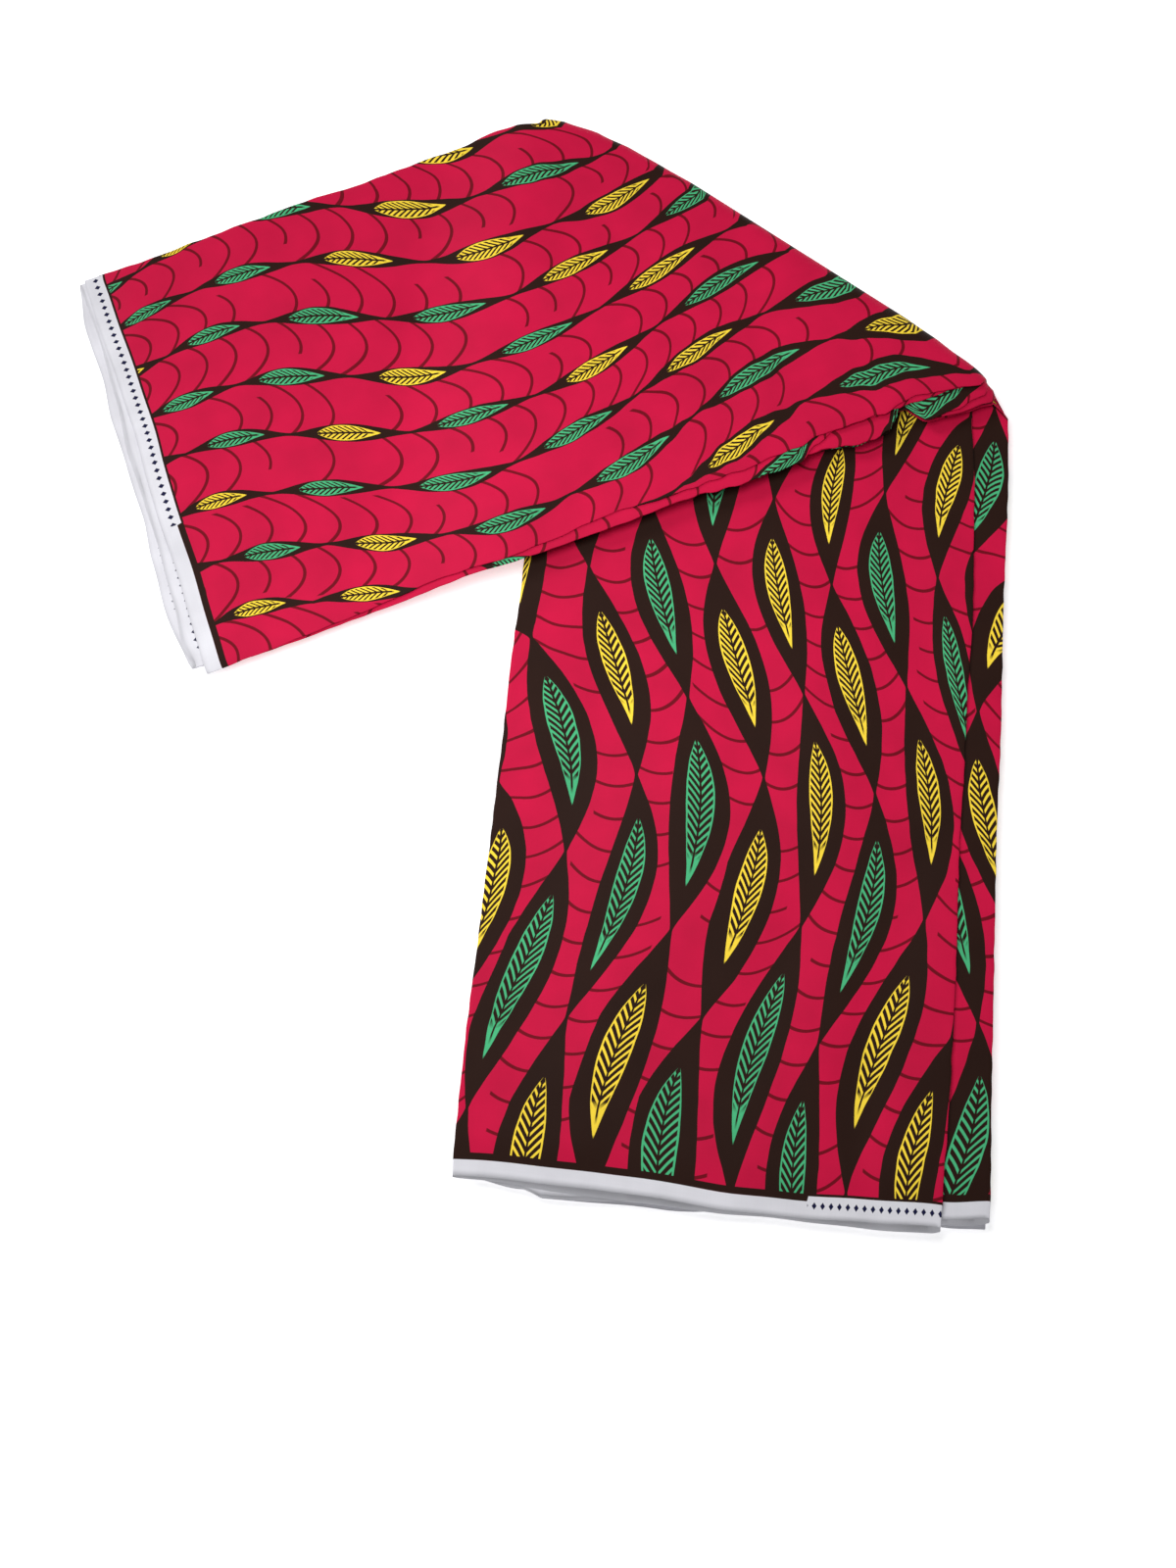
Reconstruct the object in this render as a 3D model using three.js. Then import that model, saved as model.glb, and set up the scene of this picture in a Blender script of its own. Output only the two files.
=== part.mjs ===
// A length of wax print cotton, put away the way a cloth seller shows it.
//
// The cloth is folded lengthwise, over and over, into a flat strip of sixteen layers. The strip is as long
// as the cloth is wide, so its two short ends are the selvedges. It lies on a table and is turned over once
// on a diagonal bend: the lower arm runs toward -Y, and the upper arm comes back over it and runs toward -X.
//
// Every piece is worked out in strip coordinates, in millimetres:
//   s  distance from the bend's middle along an arm, toward its free end,
//   t  distance across the strip: -t is the lower arm's left edge and the upper arm's back edge,
//      +t is the lower arm's right edge and the upper arm's front edge,
//   z  height above the table.

import * as THREE from 'three';

// ---------------------------------------------------------------- driving dimensions

const STRIP_WIDTH = 336;        // one sixteenth of six yards, less a little for the folds
const HALF = STRIP_WIDTH / 2;
const WALL = 1.2;               // one folded ply: two layers of cotton with the air between them
const GAP = 0.3;                // clearance between neighbouring pieces
const ARM_HEIGHT = 11;          // all sixteen layers of one arm

const LOWER_ARM_LEAN = 4.91;    // degrees that the lower arm leans, clockwise from the Y axis
const BEND_SLOPE = 37.2;        // degrees that the bend falls toward +X
const BEND_MIDDLE = [177.31, 294.78]; // the bend's middle, placed so that the origin is the middle of the part's box

const RAMP_START = 14;          // the upper arm leaves the lower one this far past its left edge ...
const RAMP_LENGTH = 86;         // ... and lies on the table this much further on

// ---------------------------------------------------------------- heights

const PITCH = WALL + GAP;
const BEND_HEIGHT = ARM_HEIGHT + GAP / 2;    // the two arms meet here, and the turn rolls round this height
const BEND_RADIUS = BEND_HEIGHT;             // the turned ply comes down to the table
const INNER_RADIUS = BEND_RADIUS - PITCH - GAP; // everything inside the turned ply
const HEEL = 3;                              // the layers' outer corners stay this far back from the bend line
const DROP = ARM_HEIGHT + GAP;               // from on top of the lower arm down to the table

// A ply's place in its stack, counted down from the top ply at 0.
const plyHeights = (stackTop, index) => {
  const top = stackTop - index * PITCH;
  return { bottom: top - WALL, top };
};
const LOWER_TOP = ARM_HEIGHT;
const UPPER_TOP = 2 * BEND_HEIGHT;

// ---------------------------------------------------------------- short tables

// How far each ply's folded edges lie outside the straight strip (minus is inside).
// minus is the edge at -HALF, plus the edge at +HALF.
const LOWER_TOP_EDGES = [
  { s: -110, minus: -13, plus: -15 },
  { s: -90, minus: -13, plus: -15 },
  { s: 0, minus: 0, plus: -20 },
  { s: 125, minus: 2, plus: -24 },
  { s: 180, minus: 1, plus: -21 },
  { s: 278, minus: -3, plus: -20 },
  { s: 384, minus: -2, plus: -23 },
  { s: 520, minus: 0, plus: -25 },
  { s: 630, minus: 1.5, plus: -27.5 },
  { s: 701, minus: 0.5, plus: -30 },
];
const LOWER_LEDGE_EDGES = [
  { s: -110, minus: -14, plus: 0 },
  { s: -90, minus: -14, plus: 0 },
  { s: 0, minus: -3, plus: 0.5 },
  { s: 104, minus: -2, plus: 1.6 },
  { s: 175, minus: -3, plus: 2.6 },
  { s: 278, minus: -5, plus: 1.1 },
  { s: 440, minus: -3, plus: -0.4 },
  { s: 600, minus: -1.5, plus: -0.2 },
  { s: 701, minus: -3, plus: 0.6 },
];
const UPPER_TOP_EDGES = [
  { s: -106, minus: -8, plus: -14 },
  { s: -58, minus: -8, plus: -19 },
  { s: 8, minus: -8, plus: -16 },
  { s: 60, minus: -8, plus: -12 },
  { s: 100, minus: -8, plus: -9 },
  { s: 123, minus: -2.5, plus: -9 },
  { s: 165, minus: 6.5, plus: -9 },
  { s: 212, minus: 5, plus: -8 },
  { s: 276, minus: 1.5, plus: -3 },
  { s: 328, minus: 1.5, plus: -6.5 },
  { s: 376, minus: -2.5, plus: -4 },
  { s: 440, minus: -6.5, plus: 0 },
  { s: 487, minus: -6, plus: 2 },
];
const UPPER_SECOND_EDGES = [
  { s: -106, minus: -12, plus: -17 },
  { s: 20, minus: -12, plus: -17 },
  { s: 60, minus: -12, plus: -2 },
  { s: 100, minus: -12, plus: -0.5 },
  { s: 165, minus: 3.5, plus: -2 },
  { s: 210, minus: 2, plus: 0 },
  { s: 265, minus: 0.5, plus: 1 },
  { s: 370, minus: -4, plus: -1.5 },
  { s: 458, minus: -7, plus: 0.5 },
  { s: 495, minus: -8, plus: -5 },
];
const UPPER_THIRD_EDGES = [
  { s: -106, minus: -13, plus: -7 },
  { s: -65, minus: -13, plus: -2 },
  { s: -17, minus: -13, plus: -3 },
  { s: 0, minus: -13, plus: -6 },
  { s: 35, minus: -13, plus: -6 },
  { s: 100, minus: -13, plus: -4 },
  { s: 165, minus: 1, plus: -3 },
  { s: 370, minus: -6, plus: -5 },
  { s: 505, minus: -9, plus: -6 },
];

// Where each ply's selvedge lies: end is its distance from the bend's middle, at a place t across the strip.
const LOWER_TOP_END = [
  { t: -168, end: 692 },
  { t: 7, end: 700 },
  { t: 138, end: 701 },
];
const LOWER_LEDGE_END = [
  { t: -168, end: 688 },
  { t: -127, end: 695 },
  { t: -112, end: 700 },
  { t: 168, end: 692 },
];
const UPPER_TOP_END = [
  { t: -168, end: 486 },
  { t: -27, end: 487 },
  { t: 168, end: 493 },
];
const UPPER_SECOND_END = [
  { t: -168, end: 488 },
  { t: 0, end: 494 },
  { t: 150, end: 500 },
  { t: 168, end: 497 },
];
const UPPER_THIRD_END = [
  { t: -168, end: 490 },
  { t: -130, end: 496 },
  { t: 38, end: 501 },
  { t: 117, end: 506 },
  { t: 168, end: 503 },
];

// The hidden layers' folded edges and ends: out is how far each layer stands outside the row's edges,
// back is how far its end stands short of the stack's end. From the lowest layer up.
const LOWER_LAYERS = [
  { out: -3, back: 6 },
  { out: -1, back: 2 },
  { out: -4, back: 5 },
  { out: -1.5, back: 3 },
  { out: -2.5, back: 1 },
];
const UPPER_LAYERS = [
  { out: -2, back: 9 },
  { out: -4.5, back: 5 },
  { out: -1.5, back: 7 },
  { out: -3.5, back: 4 },
];

// How far the bend is pulled back from its straight line: x runs along the bend, from its back end.
const BEND_PULL = [
  { x: -205, pull: 19 },
  { x: -186, pull: 11 },
  { x: -160, pull: 6 },
  { x: -125, pull: 2 },
  { x: -85, pull: 0 },
  { x: 110, pull: 0 },
  { x: 154, pull: 3 },
  { x: 199, pull: 6.5 },
];

// ---------------------------------------------------------------- small helpers

const radians = (degrees) => (degrees * Math.PI) / 180;
const lerp = (from, to, part) => from + (to - from) * part;
const smooth = (part) => part * part * (3 - 2 * part);

// Reads one column of a table at a place along its key column, easing from row to row.
function read(table, key, column, place) {
  if (place <= table[0][key]) return table[0][column];
  for (let row = 1; row < table.length; row++) {
    const before = table[row - 1];
    const after = table[row];
    if (place <= after[key]) {
      const part = (place - before[key]) / (after[key] - before[key]);
      return lerp(before[column], after[column], smooth(part));
    }
  }
  return table[table.length - 1][column];
}

// ---------------------------------------------------------------- the strip and its bend, seen from above

const lean = radians(LOWER_ARM_LEAN);
const slope = radians(BEND_SLOPE);
const bendMiddle = new THREE.Vector2(...BEND_MIDDLE);
const bendAlong = new THREE.Vector2(Math.cos(slope), -Math.sin(slope));
const bendOut = new THREE.Vector2(Math.sin(slope), Math.cos(slope));

// Turning the strip over on the bend mirrors its directions in the bend.
const mirrored = (v) => v.clone().addScaledVector(bendOut, -2 * v.dot(bendOut));

const lowerAlong = new THREE.Vector2(-Math.sin(lean), -Math.cos(lean));
const lowerAcross = new THREE.Vector2(Math.cos(lean), -Math.sin(lean));
const LOWER = { along: lowerAlong, across: lowerAcross };
const UPPER = { along: mirrored(lowerAlong).negate(), across: mirrored(lowerAcross) };

const planPoint = (arm, s, t) =>
  bendMiddle.clone().addScaledVector(arm.along, s).addScaledVector(arm.across, t);

// The s at which an arm meets the bend, for a place t across it. reach moves it outward past the bend.
function bendStart(arm, t, reach) {
  const perUnit = -arm.along.dot(bendOut);
  const straight = (t * arm.across.dot(bendOut)) / perUnit;
  const x = planPoint(arm, straight, t).sub(bendMiddle).dot(bendAlong);
  return straight + (read(BEND_PULL, 'x', 'pull', x) - reach) / perUnit;
}

// How far past the bend line a piece inside the turned ply reaches, at height z.
function reachInsideTurn(z) {
  const rise = Math.abs(z - BEND_HEIGHT);
  if (rise >= INNER_RADIUS) return -HEEL;
  return Math.sqrt(INNER_RADIUS ** 2 - rise ** 2);
}

// Distance left of the lower arm's left edge, and the upper arm's drop there.
const pastLowerArm = (point) => -point.clone().sub(bendMiddle).dot(lowerAcross) - HALF;
function dropAt(point) {
  const part = (pastLowerArm(point) - RAMP_START) / RAMP_LENGTH;
  return -DROP * smooth(THREE.MathUtils.clamp(part, 0, 1));
}

// The s at which the upper arm is a given distance past the lower arm's left edge, at a place t across it.
const rampStation = (t, past) =>
  (HALF + past + t * UPPER.across.dot(lowerAcross)) / -UPPER.along.dot(lowerAcross);

// ---------------------------------------------------------------- sections

// Places across the flat of a ply, as a part of its half width: closer together toward the bend's back end.
const ACROSS = [-1, -0.88, -0.7, -0.4, 0, 0.4, 0.75, 1];
const FLAT_INSET = 8; // the hidden layers' flats stop this far inside their edges

// Joins the four chains of a section into one ring. left and right are its sides, from bottom to top;
// above and below are its flats, from left to right, with as many corners each.
function closedSection({ left, right, above, below }) {
  const corners = [...left, ...above, ...[...right].reverse(), ...[...below].reverse()];
  const aboveAt = above.map((_, index) => left.length + index);
  const belowAt = below.map((_, index) => corners.length - 1 - index);
  const leftAt = left.map((_, index) => index);
  const rightAt = right.map((_, index) => left.length + above.length + index);
  return {
    corners,
    aboveAt,
    belowAt,
    sides: [
      [belowAt[0], ...leftAt, aboveAt[0]],
      [aboveAt.at(-1), ...rightAt, belowAt.at(-1)],
    ],
  };
}

// A ply's section: flat above and below, with a round fold along both edges.
function plySection({ bottom, top }) {
  const level = (part, z, inset) => ({ part, in: inset, z, out: 0, back: 0 });
  return closedSection({
    left: [level(-1, (bottom + top) / 2, 0)],
    right: [level(1, (bottom + top) / 2, 0)],
    above: ACROSS.map((part) => level(part, top, WALL / 2)),
    below: ACROSS.map((part) => level(part, bottom, WALL / 2)),
  });
}

// The hidden layers' section: each layer is a round fold of its own at both edges.
function layeredSection({ bottom, top }, layers) {
  const thick = (top - bottom) / layers.length;
  const side = (part) =>
    layers.flatMap(({ out, back }, index) => {
      const z = bottom + index * thick;
      return [
        { part, in: thick / 2, z: z + 0.1 * thick, out, back },
        { part, in: 0, z: z + 0.5 * thick, out, back },
        { part, in: thick / 2, z: z + 0.9 * thick, out, back },
      ];
    });
  const flat = (z, { out, back }) => ACROSS.map((part) => ({ part, in: FLAT_INSET, z, out, back }));
  return closedSection({
    left: side(-1),
    right: side(1),
    above: flat(top, layers.at(-1)),
    below: flat(bottom, layers[0]),
  });
}

// A section corner's place across the strip, where the ply's edges are those at s.
function acrossAt(edges, s, corner) {
  const wing = HALF + corner.out + read(edges, 's', corner.part < 0 ? 'minus' : 'plus', s);
  return corner.part * wing - Math.sign(corner.part) * corner.in;
}

// ---------------------------------------------------------------- rows of section corners

const LOWER_ROWS = [0, 0.03, 0.09, 0.16, 0.25, 0.36, 0.48, 0.6, 0.72, 0.84, 0.93, 1];
const RAMP_ROWS = [0, 0.1, 0.22, 0.35, 0.5, 0.65, 0.78, 0.9, 1];
const TABLE_ROWS = [0.18, 0.36, 0.54, 0.72, 0.88, 1];
const TURN_STEPS = 12;
const SETTLING_ROUNDS = 4;

// Finds the s at which a section corner meets the bend. Its place across the strip depends on s in turn,
// so the two are settled in a few rounds.
function bendMeeting(arm, piece, corner, reach) {
  let s = bendStart(arm, corner.part * HALF, reach);
  for (let round = 0; round < SETTLING_ROUNDS; round++) {
    s = bendStart(arm, acrossAt(piece.edges, s, corner), reach);
  }
  return s;
}

// Places one corner of a section of the lower arm, a part of the way from the bend to the free end.
function lowerCorner(piece, corner, part) {
  const nominal = corner.part * HALF;
  const from = bendMeeting(LOWER, piece, corner, reachInsideTurn(corner.z));
  const to = read(piece.end, 't', 'end', nominal) - corner.back;
  const s = lerp(from, to, part);
  const flat = planPoint(LOWER, s, acrossAt(piece.edges, s, corner));
  return new THREE.Vector3(flat.x, flat.y, corner.z);
}

// Places one corner of a section of the upper arm. The arm has three stretches: over the lower arm,
// down the ramp, and on the table. stretch is 0, 1 or 2 and part is the way along it.
function upperCorner(piece, corner, { stretch, part }) {
  const nominal = corner.part * HALF;
  const reach = piece.turned ? 0 : reachInsideTurn(corner.z);
  const stops = [
    bendMeeting(UPPER, piece, corner, reach),
    rampStation(nominal, RAMP_START),
    rampStation(nominal, RAMP_START + RAMP_LENGTH),
    read(piece.end, 't', 'end', nominal) - corner.back,
  ];
  const s = lerp(stops[stretch], stops[stretch + 1], part);
  const flat = planPoint(UPPER, s, acrossAt(piece.edges, s, corner));
  return new THREE.Vector3(flat.x, flat.y, corner.z + dropAt(flat));
}

// Places one corner of the turned ply's roll, from the table (turn 0) up to the top of the upper arm (turn 1).
function turnCorner(piece, corner, turn) {
  const start = upperCorner(piece, corner, { stretch: 0, part: 0 });
  const angle = Math.PI * (1 - turn);
  const radius = corner.z - BEND_HEIGHT;
  return new THREE.Vector3(
    start.x + bendOut.x * radius * Math.sin(angle),
    start.y + bendOut.y * radius * Math.sin(angle),
    BEND_HEIGHT + radius * Math.cos(angle),
  );
}

const lowerRows = (piece) =>
  LOWER_ROWS.map((part) => piece.section.corners.map((corner) => lowerCorner(piece, corner, part)));

function upperRows(piece) {
  const stations = [
    { stretch: 0, part: 0 },
    { stretch: 0, part: 0.5 },
    ...RAMP_ROWS.map((part) => ({ stretch: 1, part })),
    ...TABLE_ROWS.map((part) => ({ stretch: 2, part })),
  ];
  const rows = stations.map((station) => piece.section.corners.map((corner) => upperCorner(piece, corner, station)));
  if (!piece.turned) return rows;
  const roll = [];
  for (let step = 0; step < TURN_STEPS; step++) {
    roll.push(piece.section.corners.map((corner) => turnCorner(piece, corner, step / TURN_STEPS)));
  }
  return [...roll, ...rows];
}

// ---------------------------------------------------------------- closed solids

// Splits a section into triangles for its end caps: upright slices between its flats, and its two sides.
function capTriangles({ corners, aboveAt, belowAt, sides }) {
  const triangles = [];
  for (let slice = 0; slice + 1 < aboveAt.length; slice++) {
    triangles.push([aboveAt[slice], belowAt[slice], belowAt[slice + 1]]);
    triangles.push([aboveAt[slice], belowAt[slice + 1], aboveAt[slice + 1]]);
  }
  for (const side of sides) {
    const outline = side.map((index) => {
      const { part, in: inset, out, z } = corners[index];
      return new THREE.Vector2(part * (HALF + out) - Math.sign(part) * inset, z);
    });
    const split = THREE.ShapeUtils.triangulateShape(outline, []);
    triangles.push(...split.map((triangle) => triangle.map((index) => side[index])));
  }
  return triangles;
}

// Skins rows of section corners and closes both ends.
function loft(rows, section) {
  const count = section.corners.length;
  const cap = capTriangles(section);
  const faces = [];
  const last = (rows.length - 1) * count;
  for (let row = 0; row + 1 < rows.length; row++) {
    for (let corner = 0; corner < count; corner++) {
      const next = (corner + 1) % count;
      const here = row * count;
      const there = here + count;
      faces.push([here + corner, here + next, there + corner]);
      faces.push([here + next, there + next, there + corner]);
    }
  }
  for (const [a, b, c] of cap) {
    faces.push([a, b, c]);
    faces.push([last + c, last + b, last + a]);
  }
  const geometry = new THREE.BufferGeometry();
  const points = rows.flat();
  geometry.setAttribute('position', new THREE.Float32BufferAttribute(points.flatMap((p) => p.toArray()), 3));
  geometry.setIndex((facesOut(points, faces) ? faces : faces.map((f) => [...f].reverse())).flat());
  geometry.computeVertexNormals();
  return geometry;
}

// True if the faces point out of the solid, by the sign of its volume.
function facesOut(points, faces) {
  let sixVolumes = 0;
  for (const [a, b, c] of faces) {
    sixVolumes += points[a].dot(points[b].clone().cross(points[c]));
  }
  return sixVolumes > 0;
}

// ---------------------------------------------------------------- the pieces

const hiddenUnder = (stackTop, plies) => plyHeights(stackTop, plies - 1).bottom - GAP;

const PIECES = [
  {
    name: 'lower_arm_layers',
    section: layeredSection({ bottom: 0, top: hiddenUnder(LOWER_TOP, 2) }, LOWER_LAYERS),
    edges: LOWER_LEDGE_EDGES,
    end: LOWER_LEDGE_END,
    color: '#b8183c',
  },
  {
    name: 'lower_arm_ledge_ply',
    section: plySection(plyHeights(LOWER_TOP, 1)),
    edges: LOWER_LEDGE_EDGES,
    end: LOWER_LEDGE_END,
    color: '#c81c42',
  },
  {
    name: 'lower_arm_top_ply',
    section: plySection(plyHeights(LOWER_TOP, 0)),
    edges: LOWER_TOP_EDGES,
    end: LOWER_TOP_END,
    color: '#d61e48',
  },
  {
    name: 'upper_arm_layers',
    upper: true,
    section: layeredSection({ bottom: DROP, top: hiddenUnder(UPPER_TOP, 3) }, UPPER_LAYERS),
    edges: UPPER_THIRD_EDGES,
    end: UPPER_THIRD_END,
    color: '#b8183c',
  },
  {
    name: 'upper_arm_third_ply',
    upper: true,
    section: plySection(plyHeights(UPPER_TOP, 2)),
    edges: UPPER_THIRD_EDGES,
    end: UPPER_THIRD_END,
    color: '#c81c42',
  },
  {
    name: 'upper_arm_second_ply',
    upper: true,
    section: plySection(plyHeights(UPPER_TOP, 1)),
    edges: UPPER_SECOND_EDGES,
    end: UPPER_SECOND_END,
    color: '#ce1d45',
  },
  {
    name: 'upper_arm_top_ply',
    upper: true,
    turned: true,
    section: plySection(plyHeights(UPPER_TOP, 0)),
    edges: UPPER_TOP_EDGES,
    end: UPPER_TOP_END,
    color: '#dc1f4b',
  },
];

const fabric = new THREE.Group();
for (const piece of PIECES) {
  const rows = piece.upper ? upperRows(piece) : lowerRows(piece);
  const cotton = new THREE.MeshStandardMaterial({ color: piece.color, roughness: 0.8, metalness: 0 });
  const mesh = new THREE.Mesh(loft(rows, piece.section), cotton);
  mesh.name = piece.name;
  fabric.add(mesh);
}

export default fabric;
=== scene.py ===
# %% [markdown]
# # A folded length of wax print cotton
#
# Wax print cotton is sold by the piece: six yards of cloth, 1.19 m wide. A seller folds it in half lengthwise
# four times, so that sixteen layers make a flat strip as long as the cloth is wide, with a selvedge at each
# end. Here the strip lies on a table and is turned over once on a diagonal, so its two arms make an angle.
# The CAD model gives the solids that the cloth fills. This script loads them as a fixed frame, and builds the
# cloth itself in their place: eight folded plies, one inside the next, and the print that covers them.

# %% Load the frame
import math
import bpy
import numpy as np
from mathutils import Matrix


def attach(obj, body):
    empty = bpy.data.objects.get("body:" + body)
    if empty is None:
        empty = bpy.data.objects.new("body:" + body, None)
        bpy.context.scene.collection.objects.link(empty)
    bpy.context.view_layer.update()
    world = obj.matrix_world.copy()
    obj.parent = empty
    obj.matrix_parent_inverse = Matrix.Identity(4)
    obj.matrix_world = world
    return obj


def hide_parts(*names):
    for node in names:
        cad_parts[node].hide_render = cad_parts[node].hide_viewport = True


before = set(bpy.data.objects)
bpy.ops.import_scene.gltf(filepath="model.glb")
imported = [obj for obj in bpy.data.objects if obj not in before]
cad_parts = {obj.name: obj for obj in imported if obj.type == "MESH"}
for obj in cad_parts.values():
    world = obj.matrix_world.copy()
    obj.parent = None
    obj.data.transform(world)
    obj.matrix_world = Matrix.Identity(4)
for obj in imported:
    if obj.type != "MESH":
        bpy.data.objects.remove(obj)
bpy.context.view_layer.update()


# %% [markdown]
# ## The camera
#
# The cloth is seen from in front, looking down at 70 degrees. A camera in Blender looks along its own -Z
# axis, so one that is not turned looks straight down. Turning it 20 degrees about X tips its view up.

# %% The camera
MM = 0.001
BEND_MIDDLE = np.array([177.31, 294.78])  # the middle of the diagonal bend, in mm, as in the CAD model
AIM_FROM_BEND = np.array([-141.76, -408.78])
LOOK_DOWN = math.radians(70)
CAMERA_DISTANCE = 1.417
FOCAL_LENGTH, SENSOR = 48.2, 36

aim = (BEND_MIDDLE + AIM_FROM_BEND) * MM
lens = bpy.data.cameras.new("camera")
lens.sensor_width = SENSOR
lens.lens = FOCAL_LENGTH
camera = bpy.data.objects.new("camera", lens)
camera.location = (
    aim[0],
    aim[1] - CAMERA_DISTANCE * math.cos(LOOK_DOWN),
    CAMERA_DISTANCE * math.sin(LOOK_DOWN),
)
camera.rotation_euler = (math.pi / 2 - LOOK_DOWN, 0, 0)
bpy.context.scene.collection.objects.link(camera)
bpy.context.scene.camera = camera
print("camera at", [round(value, 3) for value in camera.location])

# %% [markdown]
# ## Floor and light
#
# A cloth this flat shows its folds only by soft shading. The sky stands for a room with bright walls and a
# dimmer ceiling. A square panel hangs over the middle, so the cloth is darker toward its ends. A soft sun
# comes in low from behind and the left, and brings out creases that light from above would hide. The Standard
# view transform keeps printed colours as they are: the default, AgX, would wash out a strong red.

# %% Floor and light
FLOOR_HALF = 60.0         # so far away that its edge is a level horizon in low views
FLOOR_GLOW = 0.56         # a lit table: it stays white to its edges
HORIZON, CEILING = 0.95, 0.27
CEILING_FROM = 0.35       # the sine of the height above the horizon at which the ceiling begins
PANEL_SIZE = 0.5
WINDOW_SPREAD = math.radians(18)

scene = bpy.context.scene
scene.view_settings.view_transform = "Standard"


def feed(node, values):
    """Sets inputs of a node to values, or links them where a value is a socket or a term."""
    for place, value in values.items():
        value = getattr(value, "socket", value)
        if isinstance(value, bpy.types.NodeSocket):
            node.id_data.links.new(value, node.inputs[place])
        else:
            node.inputs[place].default_value = value


floor_mesh = bpy.data.meshes.new("floor")
floor_corners = [(x * FLOOR_HALF, y * FLOOR_HALF, 0) for x, y in ((-1, -1), (1, -1), (1, 1), (-1, 1))]
floor_mesh.from_pydata(floor_corners, [], [(0, 1, 2, 3)])
floor = bpy.data.objects.new("floor", floor_mesh)
scene.collection.objects.link(floor)
floor_paint = bpy.data.materials.new("pale_floor")
floor_paint.use_nodes = True
feed(floor_paint.node_tree.nodes["Principled BSDF"], {
    "Base Color": (0.9, 0.9, 0.905, 1),
    "Roughness": 0.9,
    "Specular IOR Level": 0.1,
    "Emission Color": (1, 1, 1, 1),
    "Emission Strength": FLOOR_GLOW,
})
floor_mesh.materials.append(floor_paint)

sky = bpy.data.worlds.new("studio")
sky.use_nodes = True
backdrop = sky.node_tree.nodes["Background"]
ray = sky.node_tree.nodes.new("ShaderNodeTexCoord")
upward = sky.node_tree.nodes.new("ShaderNodeSeparateXYZ")
strength = sky.node_tree.nodes.new("ShaderNodeMapRange")
feed(upward, {0: ray.outputs["Generated"]})
feed(strength, {"Value": upward.outputs["Z"], "From Max": CEILING_FROM})
feed(strength, {"To Min": HORIZON, "To Max": CEILING})
feed(backdrop, {"Color": (0.97, 0.985, 1.0, 1), "Strength": strength.outputs["Result"]})
scene.world = sky


def lamp(name, kind, place, target, energy):
    """A lamp that shines from its place toward a target point."""
    data = bpy.data.lights.new(name, kind)
    data.energy = energy
    holder = bpy.data.objects.new(name, data)
    holder.location = place
    towards = np.array(target, float) - np.array(place, float)
    tip = math.atan2(math.hypot(towards[0], towards[1]), -towards[2])
    holder.rotation_euler = (tip, 0, math.atan2(towards[1], towards[0]) - math.pi / 2)
    scene.collection.objects.link(holder)
    return data


panel = lamp("ceiling_panel", "AREA", place=(-0.08, 0.01, 0.68), target=(-0.08, 0.01, 0.0), energy=3.6)
panel.size = PANEL_SIZE
window = lamp("window", "SUN", place=(-2.1, 1.5, 1.5), target=(0.0, 0.0, 0.0), energy=1.35)
window.angle = WINDOW_SPREAD

# %% [markdown]
# ## The strip, seen from above
#
# Every ply is worked out in strip coordinates, in millimetres: s runs along an arm from the bend toward its
# free end, t runs across the strip, and depth counts inward from the ply that lies outermost in the turn.
# Turning a strip over on a line mirrors its directions in that line, which is all that a diagonal fold is.

# %% The strip's directions
HALF = 168.0                  # half the strip's width
LEAN = math.radians(4.91)     # the lower arm leans this far to -X
SLOPE = math.radians(37.2)    # the bend falls this steeply toward +X

bend_along = np.array([math.cos(SLOPE), -math.sin(SLOPE)])
bend_out = np.array([math.sin(SLOPE), math.cos(SLOPE)])


def mirrored(direction):
    """A direction after the strip is turned over on the bend."""
    return direction - 2 * np.dot(direction, bend_out) * bend_out


lower_along = np.array([-math.sin(LEAN), -math.cos(LEAN)])
lower_across = np.array([math.cos(LEAN), -math.sin(LEAN)])
ARMS = {
    "lower": {"along": lower_along, "across": lower_across},
    "upper": {"along": -mirrored(lower_along), "across": mirrored(lower_across)},
}
print("upper arm runs along", np.round(ARMS["upper"]["along"], 3))

# %% [markdown]
# ## The folded edges
#
# A fold made by hand is never straight. Each edge could be drawn as a curve, but a short table for each ply
# is easier to read and to change. It says how far the ply's two edges lie outside the straight strip.

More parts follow.
